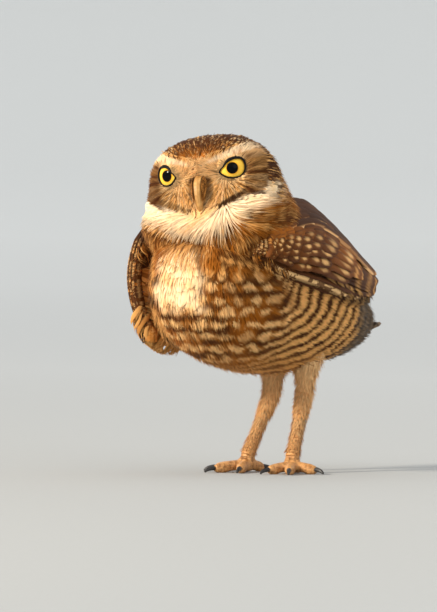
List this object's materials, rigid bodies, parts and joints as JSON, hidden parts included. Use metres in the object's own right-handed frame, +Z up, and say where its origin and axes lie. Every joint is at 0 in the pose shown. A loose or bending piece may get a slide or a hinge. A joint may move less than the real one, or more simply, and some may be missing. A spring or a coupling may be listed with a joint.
{
  "type": "burrowing owl",
  "caption": "Still life-size model of a burrowing owl standing on long bare legs, head turned, one wing drooped.",
  "frame": {"origin": "on the floor, under the middle of the bounding box", "axes": "+Z up, -Y the way the chest faces, +X the bird's left, which is also the narrowest way across"},
  "size_m": [0.1174, 0.2074, 0.2169],
  "materials": {
    "head_feathers": "soft streaked brown and cream plumage",
    "throat_feathers": "soft cream plumage",
    "body_feathers": "soft barred brown and cream plumage",
    "wing_feathers": "smooth vaned brown plumage with pale spots",
    "tail_feathers": "smooth vaned brown plumage with pale bars",
    "leg_feathers": "short soft buff plumage",
    "leg_skin": "dry fine scales with sparse bristles",
    "bill": "satin horn",
    "claw": "satin dark horn",
    "eye": "wet and glossy"
  },
  "bodies": {
    "root": {"head": "head_feathers", "neck": "throat_feathers", "torso": "body_feathers", "tail": "tail_feathers", "wing_left": "wing_feathers", "wing_right": "wing_feathers", "eye_left": "eye", "eye_right": "eye", "bill_upper": "bill", "bill_lower": "bill", "thigh_left": "leg_feathers", "thigh_right": "leg_feathers", "shank_left": "leg_skin", "shank_right": "leg_skin", "foot_left": "leg_skin", "foot_right": "leg_skin", "claw_left_inner": "claw", "claw_left_middle": "claw", "claw_left_outer": "claw", "claw_left_hind": "claw", "claw_right_inner": "claw", "claw_right_middle": "claw", "claw_right_outer": "claw", "claw_right_hind": "claw"}
  },
  "joints": []
}
